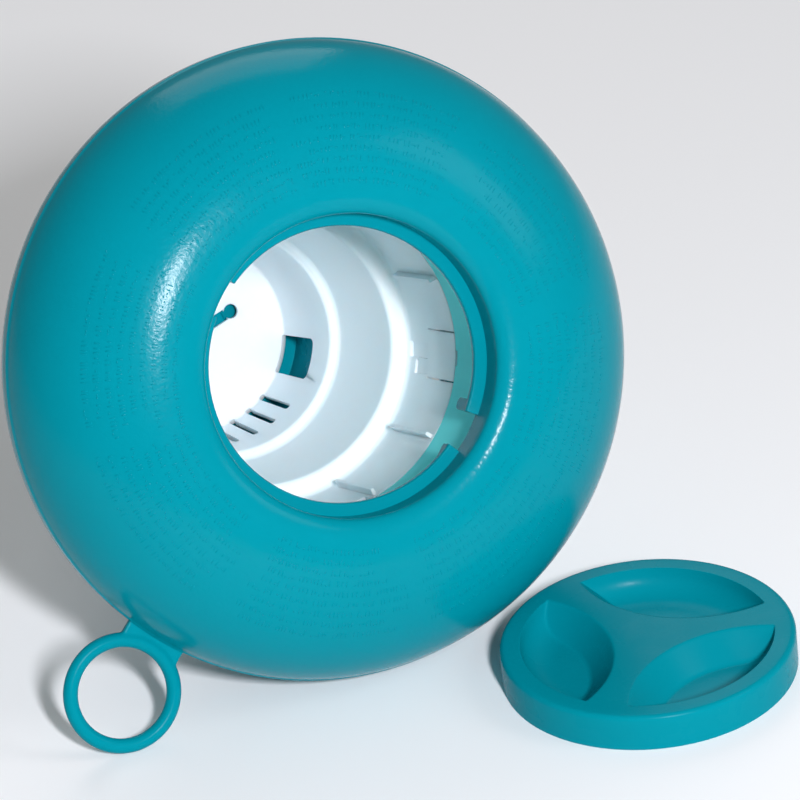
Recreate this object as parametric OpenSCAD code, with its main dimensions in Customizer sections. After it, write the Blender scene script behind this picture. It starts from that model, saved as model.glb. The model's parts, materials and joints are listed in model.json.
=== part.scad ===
// Floating chlorine dispenser: a hollow ring float that carries a vented tablet basket,
// a turning flow adjuster under the basket, a tether ring and a lid with three finger recesses.
// The float is drawn upright in its own frame, with its centre at the origin and its mouth up (+Z),
// and is then laid on its side, the way it rests on a table with the lid off beside it.

/* [Float ring] */
// Outer radius of the float ring
float_r = 95; // [80:0.5:120]
// Height of the crest of the ring above its widest line
crest_h = 38.5; // [32:0.5:46]
// Depth of the ring below its widest line
keel_h = 28; // [24:0.5:36]
// Width of the rounded edge between the crest and the lid recess
mouth_round = 7; // [5:0.5:9]
// Height of that rounded edge
mouth_drop = 3.5; // [2.8:0.1:6]
// Wall thickness of both float shells
shell_wall = 2.2; // [1.6:0.1:3]
// Height of the seam between the two shells above the widest line
seam_z = 2.6; // [1:0.1:6]

/* [Mouth] */
// Radius of the lid recess
recess_r = 44.3; // [38:0.1:52]
// Depth of the lid recess below the crest
recess_depth = 12; // [9:0.5:16]
// How far the locking flange stands in from the wall of the recess
flange_w = 3.8; // [2.5:0.1:6]
// Thickness of the locking flange
flange_t = 2.6; // [1.8:0.1:4]
// Width of each entry gap in the flange, in degrees
flange_gap = 15.5; // [12:0.5:24]
// Number of entry gaps in the flange
flange_gaps = 2; // [2:1:4]
// Inner radius of the neck under the flange
neck_r = 48; // [44:0.1:56]
// Wall thickness of the neck
neck_wall = 2; // [1.4:0.1:3]
// Length of the neck below the widest line
neck_drop = 13; // [8:0.5:18]

/* [Basket] */
// Wall thickness of the basket
basket_wall = 1.8; // [1.2:0.1:2.6]
// Radial gap between the basket and the float's bore
basket_gap = 0.3; // [0.2:0.05:0.6]
// Length of the top section of the basket
top_len = 43.5; // [34:0.5:56]
// Length of the middle section of the basket
mid_len = 41; // [30:0.5:56]
// Length of the bottom section of the basket
low_len = 38; // [28:0.5:48]
// Width of the ledge between the top and the middle section
ledge1_w = 6.15; // [3:0.05:9]
// Width of the ledge between the middle and the bottom section
ledge2_w = 3.2; // [2:0.1:6]
// Draft of the middle and bottom sections, in millimetres of radius per millimetre of depth
draft = 0.095; // [0.03:0.005:0.12]
// Number of groups of one window and a row of slots around the bottom section
vent_groups = 2; // [2:1:3]
// Number of slots in one group
slot_count = 5; // [3:1:6]
// Angle between two slots
slot_pitch = 11.7; // [9:0.1:13]
// Width of a slot
slot_w = 2.1; // [1.2:0.1:3]
// Width of a window
window_w = 13.4; // [8:0.1:16]
// Height of the windows and slots above the basket floor
window_h = 24; // [14:0.5:26]
// Height of the ribs inside the top section
rib_h = 2.2; // [1:0.1:3.5]
// Width of a snap tab
tab_w = 15; // [10:0.5:20]

/* [Flow adjuster] */
// Radial gap between the flow adjuster and the widest part of the basket's bottom section
adjuster_gap = 0.1; // [0.1:0.1:3]
// Height of the flow adjuster
adjuster_h = 35; // [28:0.5:40]
// Wall thickness of the flow adjuster
adjuster_wall = 1.6; // [1.2:0.1:2.4]
// How far the rim is cut down at a flow notch
notch_depth = 14; // [8:0.5:20]
// Width of a flow notch, in degrees
notch_angle = 26; // [18:1:32]
// Radius of the pivot stem
stem_r = 4.4; // [3:0.1:6]
// Gap around the pivot stem, and between the basket floor and the adjuster
pivot_gap = 0.4; // [0.3:0.05:0.8]
// Turn of the adjuster between its two stops, in degrees
adjuster_turn = 36; // [20:1:45]

/* [Tether ring] */
// Radius of the tether ring's centre line
tether_r = 15.7; // [10:0.1:20]
// Radius of the tether ring's bar
tether_bar = 2.25; // [1.5:0.05:3.5]
// Distance from the float's axis to the tether ring's centre, past the float's rim
tether_reach = 18.9; // [16:0.1:30]
// Width of the flat tab
tab_plate_w = 19; // [12:0.5:26]
// Thickness of the flat tab
tab_plate_t = 2.8; // [1.8:0.1:3.4]

/* [Lid] */
// Radial gap between the lid and its recess
lid_gap = 0.35; // [0.2:0.05:0.8]
// Height of the lid
lid_h = 11.2; // [8:0.1:14]
// Wall thickness of the lid
lid_wall = 1.8; // [1.2:0.1:2.4]
// Radius of the lid's rounded top edge
lid_round = 1.6; // [0.5:0.1:3]
// Width of the rim around the finger recesses
lid_rim = 6.4; // [4:0.1:9]
// Distance from the lid's centre to a finger recess
web_half = 10.8; // [8:0.1:16]
// Depth of a finger recess
recess_d = 8; // [4:0.1:9]
// Width of the sloping outer wall of a finger recess
recess_slope = 4.5; // [2:0.1:8]
// Direction of the first finger recess, in degrees
lid_turn = 47.5; // [0:0.5:119]
// How far the lid lies in under the float's rim
lid_under = 38.5; // [20:0.5:42]
// Direction of the lid from the float, in degrees to the right of the front
lid_side = 42; // [35:1:80]

/* [Hidden] */
$fn = 96;
teal = [0.0, 0.57, 0.65];
white = [0.93, 0.95, 0.97];
cut = 0.1;                                   // how far a cut runs past the surface it opens
weld = 0.05;                                 // gap between two shell edges that are welded together

// Places around the float's axis are angles from the side that lies down, growing to the right.
window_at = 64;                              // first window
slot_at = 11.6;                              // middle of the first row of slots
tab_at = 74.5;                               // first snap tab
rib_steps = [-60, -30, 30, 60];              // ribs beside each snap tab
rim_notch_at = 8;                            // first notch in the basket's rim
gap_at = 47.3;                                 // first entry gap of the flange
keyhole_at = 106.6;                          // keyhole in the basket floor
notch_at = 29.5;                             // first flow notch of the adjuster
halves = [0, 180];                           // what comes twice around the axis

// Float ring
flange_r = recess_r - flange_w;              // inner radius of the flange
crest_r = recess_r + mouth_round;            // radius of the crest
recess_z = crest_h - recess_depth;           // front face of the flange
flange_z = recess_z - flange_t;              // back face of the flange
flange_edge = 0.6;                           // bevel on the flange's inner edge
deck_z = flange_z + 0.5;                     // underside of the step between the recess and the neck
stop_lug = [3.4, 8];                         // width and length of the stop at the end of a flange segment
neck_out = neck_r + neck_wall;
socket_r = neck_out + weld;                  // bore that the basket snaps into
socket_out = socket_r + shell_wall;
foot_w = 4.75;                               // width of the flat foot around the socket
keel_r = socket_out + foot_w;                // radius of the lowest line of the ring
socket_top = -neck_drop + 6;                 // the socket reaches this far up around the neck
foot_bevel = 1;

// Basket
basket_out = socket_r - basket_gap;
basket_in = basket_out - basket_wall;
rim_z = -neck_drop - basket_gap;             // top of the basket
ledge1_z = rim_z - top_len;
ledge2_z = ledge1_z - mid_len;
floor_z = ledge2_z - low_len;                // inside of the basket's floor
mid_r = basket_in - ledge1_w;                // inner radius of the middle section, at its top
mid_end_r = mid_r - draft * mid_len;
low_r = mid_end_r - ledge2_w;                // inner radius of the bottom section, at its top
low_end_r = low_r - draft * low_len;
collar_z = -keel_h - basket_gap;             // collar that stops the basket under the float
collar_h = 2;
collar_r = socket_out + 1.5;
rib_t = 1.4;
rib_clear = 6;                               // the ribs stop this far above the first ledge
slit_w = 0.5;
tab_len = 25;
hook_out = 1.2;                              // how far a snap hook stands out of the basket
hook_h = 3;
hook_w = tab_w - 4;
hook_z = rim_z - 6;                          // top of a snap hook
hook_gap = 0.4;
rim_notch = [7, 7];                          // width and depth of a notch in the rim
corner_r = 2;                                // round upper corners of a window

// Flow adjuster
adjuster_r = low_r + basket_wall + adjuster_gap + adjuster_wall;
boss_r = 12.5;                               // raised boss under the basket's floor
boss_h = 2.4;
boss_z = floor_z - basket_wall - pivot_gap;  // top of the boss
adjuster_floor_z = boss_z - boss_h;
base_z = adjuster_floor_z - adjuster_wall;   // underside of the adjuster
head_out = 1.5;                              // how far the stem's head grips past its hole
head_h = 2.2;
stem_split = 1.6;
pivot_hole_r = stem_r + pivot_gap;
stop_path_r = 21;                            // radius of the circle that the stop pin stands on
stop_pin_r = 1.5;
stop_pin_len = boss_h - pivot_gap;
stop_block = [4, 3, boss_h];
stop_angle = asin((stop_pin_r + stop_block[1] / 2 + pivot_gap) / stop_path_r);
grip_count = 36;
grip_r = 0.9;

// Tether ring
tether_d = float_r + tether_reach;           // from the float's axis to the ring's centre
plate_gap = 0.1;
tether_z = seam_z - weld - plate_gap - tab_plate_t / 2;
eye_r = tether_r - tether_bar + 0.2;         // flat land around the eye
toe = [3.5, tab_plate_w + 6, tab_plate_t + 3];  // bar that holds the tab inside the float
toe_r = float_r - shell_wall - 5;

// Lid
lid_r = recess_r - lid_gap;
lens_r = lid_r - lid_rim;                    // outer arc of a finger recess
lens_shift = web_half + lens_r;              // centre of its inner arc
valley = web_half + 0.28 * (lens_r - web_half);  // foot of its inner wall, from the lid's centre
finger_recesses = 3;
lid_away = float_r - lid_under + lid_r;      // distance of the lid's centre from the float's
lid_x = lid_away * sin(lid_side);
lid_y = lid_away * cos(lid_side);

// ---------- resting pose ----------
// Lying on its side, the float touches the table with its rim, with the adjuster's lower edge and
// with the tether ring. These functions find the tilt, height and turn at which all three touch.
function rim_reach(a) =
    keel_r * cos(a) + sqrt(pow((float_r - keel_r) * cos(a), 2) + pow(keel_h * sin(a), 2));
function edge_reach(a) = adjuster_r * cos(a) - base_z * sin(a);
function find_tilt(low, high, steps) =
    let (mid = (low + high) / 2)
    steps == 0 ? mid
    : rim_reach(mid) > edge_reach(mid) ? find_tilt(mid, high, steps - 1)
    : find_tilt(low, mid, steps - 1);
tilt = find_tilt(0, 60, 40);                 // how far the axis rises above the table
height = rim_reach(tilt);                    // of the float's centre above the table
tether_drop = (height - tether_bar + tether_z * sin(tilt)) / cos(tilt) - tether_r;
tether_at = -acos(tether_drop / tether_d);

// The origin lies on the table, under the middle of the whole object.
left = min(-float_r, tether_d * sin(tether_at) - tether_r - tether_bar);
right = max(float_r, lid_x + lid_r);
front = -lid_y - lid_r;
back = -base_z * cos(tilt) + adjuster_r * sin(tilt);
centre = [-(left + right) / 2, -(front + back) / 2];

module lay_down() {
    translate([centre[0], centre[1], height]) rotate([90 - tilt, 0, 0]) children();
}

module at_angle(angle) {
    rotate([0, 0, angle - 90]) children();
}

// ---------- float shells ----------
function arc(x, z, rx, rz, from, to, steps) =
    [for (i = [0 : steps]) let (a = from + (to - from) * i / steps) [x + rx * cos(a), z + rz * sin(a)]];

// Cross-section of the float ring, or of the hollow inside it when inset is a wall thickness
module ring_profile(inset) {
    crown = arc(crest_r, 0, float_r - crest_r - inset, crest_h - inset, 0, 90, 28);
    lip = arc(crest_r, crest_h - mouth_drop, mouth_round - inset, mouth_drop - inset, 90, 180, 12);
    keel = arc(keel_r, 0, float_r - keel_r - inset, keel_h - inset, -90, -4, 22);
    bore = inset > 0
        ? [[recess_r + inset, deck_z + inset], [neck_out, deck_z + inset], [neck_out, socket_top],
           [socket_out, socket_top], [socket_out, -keel_h + inset]]
        : [[recess_r, deck_z], [neck_r, deck_z], [neck_r, -neck_drop], [socket_r, -neck_drop],
           [socket_r, -keel_h + foot_bevel], [socket_r + foot_bevel, -keel_h]];
    polygon(concat(crown, lip, bore, keel));
}

module shell_profile() {
    difference() {
        ring_profile(0);
        ring_profile(shell_wall);
    }
}

// Flange segments at the bottom of the lid recess, with open gaps between them. A round-ended lug
// under the start of each segment stops the lid's turn.
module flange() {
    segment = 360 / flange_gaps - flange_gap;
    lug_in = flange_r + flange_edge;
    lug_turn = asin(stop_lug[0] / 2 / lug_in);
    for (i = [0 : flange_gaps - 1])
        at_angle(gap_at + flange_gap / 2 + 360 * i / flange_gaps) {
            rotate_extrude(angle = segment)
                polygon([[recess_r + 1, flange_z], [flange_r + flange_edge, flange_z],
                    [flange_r, flange_z + flange_edge], [flange_r, recess_z - flange_edge],
                    [flange_r + flange_edge, recess_z], [recess_r + 1, recess_z]]);
            rotate([0, 0, lug_turn]) translate([lug_in, 0, flange_z]) rotate([90, 0, 90])
                linear_extrude(height = recess_r - lug_in - 0.5) {
                    translate([0, stop_lug[0] / 2 - stop_lug[1]]) circle(d = stop_lug[0]);
                    translate([-stop_lug[0] / 2, stop_lug[0] / 2 - stop_lug[1]])
                        square([stop_lug[0], stop_lug[1] - stop_lug[0] / 2 + 1]);
                }
        }
}

module upper_float_shell() {
    color(teal) lay_down() {
        rotate_extrude() intersection() {
            shell_profile();
            union() {
                translate([0, seam_z]) square([float_r, crest_h]);
                translate([0, -neck_drop]) square([neck_out, neck_drop + seam_z + cut]);
            }
        }
        flange();
    }
}

module tab_slot() {
    slot = [shell_wall + 6, tab_plate_w + 2 * basket_gap, tab_plate_t + 2 * plate_gap + cut];
    at_angle(tether_at) translate([float_r - slot[0] + 1, -slot[1] / 2, tether_z - tab_plate_t / 2 - plate_gap])
        cube(slot);
}

module hook_windows() {
    window = [shell_wall + 2, hook_w + 2 * hook_gap, hook_h + 2 * hook_gap];
    for (turn = halves)
        at_angle(tab_at + turn) translate([socket_r - 1, -window[1] / 2, hook_z - hook_h - hook_gap])
            cube(window);
}

module lower_float_shell() {
    color(teal) lay_down() difference() {
        rotate_extrude() intersection() {
            shell_profile();
            translate([socket_r, -keel_h]) square([float_r, keel_h + seam_z - weld]);
        }
        tab_slot();
        hook_windows();
    }
}

// ---------- tether ring ----------
module tether_ring() {
    plate_end = tether_d - tether_r;
    color(teal) lay_down() at_angle(tether_at) translate([0, 0, tether_z]) {
        difference() {
            translate([tether_d, 0, 0]) rotate_extrude() translate([tether_r, 0]) circle(r = tether_bar);
            translate([tether_d, 0, -tether_bar]) cylinder(r = eye_r, h = 2 * tether_bar);
        }
        difference() {
            translate([toe_r, -tab_plate_w / 2, -tab_plate_t / 2])
                cube([plate_end - toe_r + tether_r / 2, tab_plate_w, tab_plate_t]);
            translate([tether_d, 0, -tether_bar]) cylinder(r = tether_r, h = 2 * tether_bar);
        }
        translate([toe_r, -toe[1] / 2, -toe[2] / 2]) cube(toe);
    }
}

// ---------- basket ----------
module basket_body() {
    wall = basket_wall;
    rotate_extrude() polygon([
        [0, floor_z], [low_end_r, floor_z], [low_r, ledge2_z], [mid_end_r, ledge2_z],
        [mid_r, ledge1_z], [basket_in, ledge1_z], [basket_in, rim_z],
        [basket_out, rim_z], [basket_out, collar_z], [collar_r, collar_z], [collar_r, collar_z - collar_h],
        [basket_out, collar_z - collar_h], [basket_out, ledge1_z - wall], [mid_r + wall, ledge1_z - wall],
        [mid_end_r + wall, ledge2_z - wall], [low_r + wall, ledge2_z - wall],
        [low_end_r + wall, floor_z - wall], [0, floor_z - wall]]);
}

// Cut through the bottom section's wall, round at its upper end
module wall_cut(angle, width, round_r) {
    at_angle(angle) translate([low_end_r - 3, 0, floor_z])
        rotate([90, 0, 90]) linear_extrude(height = low_r - low_end_r + basket_wall + 6) {
            translate([-width / 2, 0]) square([width, window_h - round_r]);
            for (side = [-1, 1])
                translate([side * (width / 2 - round_r), window_h - round_r]) circle(r = round_r);
            translate([round_r - width / 2, 0]) square([width - 2 * round_r, window_h]);
        }
}

module vents() {
    for (group = [0 : vent_groups - 1]) {
        turn = 360 * group / vent_groups;
        wall_cut(window_at + turn, window_w, corner_r);
        for (i = [0 : slot_count - 1])
            wall_cut(slot_at + turn + (i - (slot_count - 1) / 2) * slot_pitch, slot_w, slot_w / 2 - cut);
    }
}

module keyhole() {
    width = 3.6;
    hole_at = 15.2;
    translate([0, 0, floor_z - basket_wall - cut]) {
        cylinder(r = pivot_hole_r, h = basket_wall + 2 * cut);
        at_angle(keyhole_at) {
            translate([hole_at, 0, 0]) cylinder(r = 2.35, h = basket_wall + 2 * cut);
            translate([0, -width / 2, 0]) cube([hole_at - 2, width, basket_wall + 2 * cut]);
        }
    }
}

module tab_slits() {
    half = asin(tab_w / 2 / basket_in);
    for (turn = halves, side = [-1, 1])
        at_angle(tab_at + turn + side * half)
            translate([basket_in - 1, -slit_w / 2, rim_z - tab_len]) cube([basket_wall + 2, slit_w, tab_len + cut]);
}

module basket_ribs() {
    top = rim_z - 1.5;
    bottom = ledge1_z + rib_clear;
    for (turn = halves, step = rib_steps)
        at_angle(tab_at + turn + step) translate([basket_in - rib_h, -rib_t / 2, bottom])
            cube([rib_h + basket_wall / 2, rib_t, top - bottom]);
}

module hooks() {
    for (turn = halves)
        at_angle(tab_at + turn) translate([0, hook_w / 2, hook_z - hook_h]) rotate([90, 0, 0])
            linear_extrude(height = hook_w)
                polygon([[basket_out - 1, 0], [basket_out + hook_out, 0], [basket_out - 0.4, hook_h],
                    [basket_out - 1, hook_h]]);
}

// Shallow steps moulded into the wall under each snap tab
module tab_pockets() {
    depth = 0.8;
    for (turn = halves) {
        at_angle(tab_at + turn + 0.6) translate([basket_in - 1, -2.4, ledge1_z + 1]) cube([1 + depth, 4.8, 16.5]);
        at_angle(tab_at + turn - 5.5) translate([basket_in - 1, -2.1, ledge1_z + 6]) cube([1 + depth, 4.2, 12]);
    }
}

module basket() {
    color(white) lay_down() difference() {
        union() {
            basket_body();
            basket_ribs();
            hooks();
            at_angle(0) translate([stop_path_r, 0, floor_z - basket_wall - stop_pin_len])
                cylinder(r = stop_pin_r, h = stop_pin_len + basket_wall / 2);
        }
        vents();
        keyhole();
        tab_slits();
        tab_pockets();
        for (turn = halves)
            at_angle(rim_notch_at + turn) translate([basket_in - 1, -rim_notch[0] / 2, rim_z - rim_notch[1]])
                cube([basket_wall + 2, rim_notch[0], rim_notch[1] + cut]);
    }
}

// ---------- flow adjuster ----------
module adjuster_cup() {
    wall_out = adjuster_r - grip_r / 2;
    difference() {
        rotate_extrude() polygon([
            [0, base_z], [adjuster_r, base_z], [adjuster_r, base_z + 3], [wall_out, base_z + 4],
            [wall_out, base_z + adjuster_h], [adjuster_r - adjuster_wall, base_z + adjuster_h],
            [adjuster_r - adjuster_wall, adjuster_floor_z], [boss_r, adjuster_floor_z], [boss_r, boss_z],
            [0, boss_z]]);
        for (group = [0 : vent_groups - 1])
            at_angle(notch_at - notch_angle / 2 + 360 * group / vent_groups)
                rotate_extrude(angle = notch_angle)
                    translate([adjuster_r - 3, base_z + adjuster_h - notch_depth]) square([4, notch_depth + cut]);
    }
}

module grips() {
    notch_clear = notch_angle / 2 + 2;
    for (i = [0 : grip_count - 1]) {
        angle = 360 * (i + 0.5) / grip_count;
        spacing = 360 / vent_groups;
        off_notch = abs((angle - notch_at + 360.5 * spacing) % spacing - spacing / 2);
        top = off_notch > notch_clear ? adjuster_h - 1 : adjuster_h - notch_depth - 1;
        at_angle(angle) translate([adjuster_r - grip_r, 0, base_z + 2]) cylinder(r = grip_r, h = top - 2);
    }
}

module pivot_stem() {
    head_z = floor_z + pivot_gap;
    difference() {
        union() {
            translate([0, 0, boss_z - 1]) cylinder(r = stem_r, h = head_z - boss_z + 1.5);
            translate([0, 0, head_z]) cylinder(r1 = pivot_hole_r + head_out, r2 = stem_r - 0.4, h = head_h);
        }
        translate([-stem_split / 2, -20, boss_z + 0.6]) cube([stem_split, 40, 20]);
    }
}

module stop_blocks() {
    for (angle = [stop_angle, -adjuster_turn - stop_angle])
        at_angle(angle) translate([stop_path_r - stop_block[0] / 2, -stop_block[1] / 2, adjuster_floor_z - 0.5])
            cube([stop_block[0], stop_block[1], stop_block[2] + 0.5]);
}

module flow_adjuster() {
    color(teal) lay_down() {
        adjuster_cup();
        grips();
        pivot_stem();
        stop_blocks();
    }
}

// ---------- lid ----------
// A finger recess is a lens between two arcs, one on the lid's axis and one beside it. It has a flat
// floor, a sloping wall along its outer arc and another along its inner arc.
module finger_recess(rise) {
    outer_slope = recess_slope / recess_d;
    inner_slope = (lens_r - lens_shift + valley) / recess_d;
    translate([0, 0, lid_h - recess_d]) intersection() {
        cylinder(r1 = lens_r - recess_slope, r2 = lens_r + outer_slope * rise, h = recess_d + rise);
        translate([lens_shift, 0, 0])
            cylinder(r1 = lens_shift - valley, r2 = lens_r + inner_slope * rise, h = recess_d + rise);
    }
}

module each_finger_recess() {
    for (i = [0 : finger_recesses - 1])
        rotate([0, 0, lid_turn + 360 * i / finger_recesses]) children();
}

module lid_cap() {
    rotate_extrude() polygon(concat(
        [[lid_r - lid_wall, 0], [lid_r, 0]],
        arc(lid_r - lid_round, lid_h - lid_round, lid_round, lid_round, 0, 90, 8),
        [[0, lid_h], [0, lid_h - lid_wall], [lid_r - lid_wall, lid_h - lid_wall]]));
}

module lid() {
    color(teal) translate([centre[0] + lid_x, centre[1] - lid_y, 0]) difference() {
        union() {
            lid_cap();
            intersection() {
                cylinder(r = lid_r - lid_wall / 2, h = lid_h - lid_wall / 2);
                each_finger_recess() translate([0, 0, -lid_wall]) finger_recess(lid_wall);
            }
        }
        each_finger_recess() finger_recess(cut);
    }
}

upper_float_shell();
lower_float_shell();
tether_ring();
basket();
flow_adjuster();
lid();
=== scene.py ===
"""Floating chlorine dispenser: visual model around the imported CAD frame.

Shapes are worked out in the float's own upright frame in millimetres (centre at the origin, mouth
up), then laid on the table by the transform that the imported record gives. Angles around the float's
axis are measured from the side that lies down, growing to the right.
"""
import json
import math
import random
import bmesh
import bpy
from mathutils import Matrix, Vector


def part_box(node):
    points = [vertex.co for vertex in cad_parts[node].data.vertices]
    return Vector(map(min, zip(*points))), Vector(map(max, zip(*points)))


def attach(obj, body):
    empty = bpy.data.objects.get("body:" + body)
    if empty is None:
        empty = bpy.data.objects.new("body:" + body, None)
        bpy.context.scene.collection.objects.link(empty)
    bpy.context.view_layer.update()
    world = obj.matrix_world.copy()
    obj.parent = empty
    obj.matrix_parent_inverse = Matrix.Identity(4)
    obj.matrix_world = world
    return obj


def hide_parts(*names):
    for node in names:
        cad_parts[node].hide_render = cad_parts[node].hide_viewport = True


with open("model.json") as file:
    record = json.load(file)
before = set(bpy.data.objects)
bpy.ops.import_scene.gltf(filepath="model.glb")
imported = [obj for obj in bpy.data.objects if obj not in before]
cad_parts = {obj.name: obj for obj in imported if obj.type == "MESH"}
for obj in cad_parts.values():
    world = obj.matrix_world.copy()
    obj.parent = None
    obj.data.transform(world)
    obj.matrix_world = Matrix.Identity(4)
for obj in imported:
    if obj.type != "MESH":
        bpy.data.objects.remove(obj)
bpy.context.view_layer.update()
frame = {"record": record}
MM = 0.001
UP = Vector((0, 0, 1))

# ---------------------------------------------------------------- sizes, in millimetres
FLOAT_R = 95.0
CREST_R, CREST_H = 51.3, 38.5
KEEL_R, KEEL_H = 57.0, 28.0
LIP_W, LIP_H = 7.0, 3.5
SHELL_WALL = 2.2
SEAM_Z = 2.6
SEAM_GAP = 0.12
BEAD_OUT, BEAD_LOW, BEAD_HIGH, CROWN_FROM = 0.2, 0.2, 0.75, 1.3
RECESS_WALL_Z = (32.0, 29.5, 27.0)
RECESS_R, RECESS_Z = 44.3, 26.5
FLANGE_R, FLANGE_T = 40.5, 2.6
FLANGE_Z = RECESS_Z - FLANGE_T
FLANGE_GAP, FLANGE_GAP_AT, FLANGE_GAPS = 15.5, 47.3, 2
FLANGE_TUCK, FLANGE_EDGE_W, FLANGE_EDGE_H = 0.8, 0.35, 0.5
STOP_LUG_W, STOP_LUG_LEN, STOP_LUG_T = 3.6, 10.5, 2.6
RAMP_LEN, RAMP_H, RAMP_TOE, RAMP_FLAT, RAMP_T = 7.5, 3.6, 0.4, 1.2, 3.2
DECK_Z, DECK_T = 24.4, 1.6
NECK_R, NECK_OUT, NECK_DROP = 48.0, 50.0, 13.0
NECK_NOTCH, NECK_NOTCH_H = (71.5, 77.0), 1.4
SOCKET_R, SOCKET_TOP = 50.05, -7.0

BASKET_WALL = 1.8
BASKET_OUT = 49.75
BASKET_IN = BASKET_OUT - BASKET_WALL
RIM_Z, LEDGE1_Z, LEDGE2_Z, FLOOR_Z = -13.3, -56.8, -97.8, -135.8
MID_R, MID_END_R, LOW_R, LOW_END_R = 41.8, 37.905, 34.7, 31.09
COLLAR_Z, COLLAR_H, COLLAR_R = -28.3, 2.0, 53.75
VENT_GROUPS, SLOT_COUNT, SLOT_PITCH, SLOT_W = 2, 5, 11.7, 2.1
WINDOW_AT, SLOT_AT, WINDOW_W, WINDOW_H, WINDOW_CORNER = 64.0, 11.6, 13.4, 24.0, 2.0
LEDGE_ROUNDS = {5: 2.2, 6: 1.5, 7: 2.0, 8: 1.3}
FLOOR_ROUND, FLOOR_ROUND_STEPS = 0.8, 4
TAB_AT, TAB_W, TAB_LEN, SLIT_W = 74.5, 15.0, 25.0, 0.5
TAB_POCKETS = ((0.6, 4.8, 1.0, 17.5), (-5.5, 4.2, 6.0, 18.0))  # turn in degrees, width, low and high edge
TAB_POCKET_DEPTH = 0.8
HOOK_DROP, HOOK_H, HOOK_OUT, HOOK_TUCK = 9.0, 3.0, 1.2, 0.8
PIN_R, PIN_H = 1.5, 2.5
RIB_STEPS, RIB_H, RIB_T, RIB_CLEAR, RIB_TAPER = (-60.0, -30.0, 30.0, 60.0), 2.2, 1.4, 6.0, 0.8
KEYHOLE_AT, KEYHOLE_REACH, KEYHOLE_R, KEYHOLE_W = 106.6, 15.2, 2.35, 3.6
PIVOT_HOLE_R, STEM_R = 4.8, 4.4
RIM_NOTCH_AT, RIM_NOTCH_W, RIM_NOTCH_D = 8.0, 7.0, 7.0

ADJUSTER_R, ADJUSTER_H, ADJUSTER_WALL = 38.2, 35.0, 1.6
BASE_Z, ADJUSTER_FLOOR_Z, BOSS_Z, BOSS_R = -142.0, -140.4, -138.0, 12.5
NOTCH_AT, NOTCH_ANGLE, NOTCH_DEPTH = 29.5, 26.0, 14.0
GRIP_COUNT, GRIP_R, GRIP_H, GRIP_SHARE = 36, 0.9, 0.45, 0.9
RIM_PLAIN, GRIP_FROM, FOOT_H = 1.5, 4.0, 3.0
STOP_PATH_R, PIVOT_GAP, ADJUSTER_TURN = 21.0, 0.4, 36.0
HEAD_OUT, HEAD_H, SPLIT_W, STOP_HALF, STOP_H = 1.5, 2.2, 1.6, (2.0, 1.5), 2.6

TETHER_R, TETHER_BAR, TETHER_D, TETHER_Z = 15.7, 2.25, 113.9, 1.05
TAB_PLATE_W, TAB_PLATE_T, TOE_R = 19.0, 2.8, 87.8
TOE_OUT, TOE_LEN = 3.0, 3.5
RING_STEPS, BAR_STEPS, MELT_SIZE, MELT_ROUNDS = 96, 24, 0.38, 7

LID_R, LID_H, LID_WALL, LID_ROUND = 43.95, 11.2, 1.8, 1.6
LID_SIDE_Z = (7.0, 4.0, 0.0)
LENS_R, WEB_HALF, FINGER_DEPTH, BOWL_R, BOWL_POWER = 37.55, 10.8, 8.0, 27.0, 2.4
LENS_SHIFT = WEB_HALF + LENS_R
VALLEY = WEB_HALF + 0.28 * (LENS_R - WEB_HALF)
LID_TURN, FINGER_RECESSES = 47.5, 3

MARK_BLOCKS, MARK_ROWS, MARK_FROM, MARK_GAP = 8, 9, 4.0, 5.0
MARK_R, MARK_PITCH, MARK_LENGTH, MARK_WIDTH, MARK_RISE = 54.0, 3.1, 1.7, 0.38, 0.11
MARK_STEP, MARK_SPACE, MARK_ACROSS, MARK_SINK = (0.85, 1.5), 1.1, 0.35, 0.06

# ---------------------------------------------------------------- colours, light and camera
TEAL = (0.0, 0.224, 0.28)
# The neck is the same teal moulding as the shell. Its much lighter colour is painted light on the neck wall
# inside the mouth.
NECK_PAINTED_LIGHT_TEAL = (0.2, 0.9, 0.88)
# White basket plastic. Its blue tint is painted reflection of the teal float around it.
WHITE = (0.83, 0.925, 1.0)
WORLD_LIGHT = 0.2
LIGHTS = [
    ("key", -5.0, 30.0, 1.6, (0.10, 0.22), 29.0, (0.93, 0.94, 1.0)),
    ("right", 50.0, 30.0, 1.9, (0.6, 0.9), 5.4),
    ("back", 165.0, 40.0, 1.7, (1.0, 1.0), 7.0),
]
VIEW_AZIMUTH, VIEW_ELEVATION, VIEW_ROLL = -18.99, 29.43, 6.54
VIEW_LENS, VIEW_DISTANCE = 230.0, 1.513
VIEW_AIM = (19.6, -14.6, -12.7)


# ---------------------------------------------------------------- frames
def mount(name):
    """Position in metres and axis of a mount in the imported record."""
    entry = next(m for m in frame["record"]["mounts"] if m["name"] == name)
    return Vector(entry["pos_m"]), Vector(entry["axis"]).normalized()


def float_transform():
    """From the float's own frame in millimetres to the table frame in metres."""
    mouth, axis = mount("mouth")
    centre = mouth - axis * (RECESS_Z - FLANGE_T / 2) * MM
    right = Vector((1, 0, 0))
    turn = Matrix((right, axis.cross(right), axis)).transposed().to_4x4()
    return Matrix.Translation(centre) @ turn @ Matrix.Scale(MM, 4)


def lid_transform():
    """From the lid's own frame in millimetres to the table frame in metres."""
    low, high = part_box("lid")
    middle = (low + high) / 2
    return Matrix.Translation((middle.x, middle.y, low.z)) @ Matrix.Scale(MM, 4)


def angle_of(point):
    """Angle around the float's axis of a point given in metres in the table frame."""
    own = FLOAT.inverted() @ point
    return math.degrees(math.atan2(own.x, -own.y))


FLOAT = float_transform()
LID = lid_transform()
TETHER_AT = angle_of(mount("tether_eye")[0])


def polar(r, angle, z):
    """Point at a radius, an angle in degrees and a height in the float's own frame."""
    a = math.radians(angle)
    return Vector((r * math.sin(a), -r * math.cos(a), z))


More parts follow.
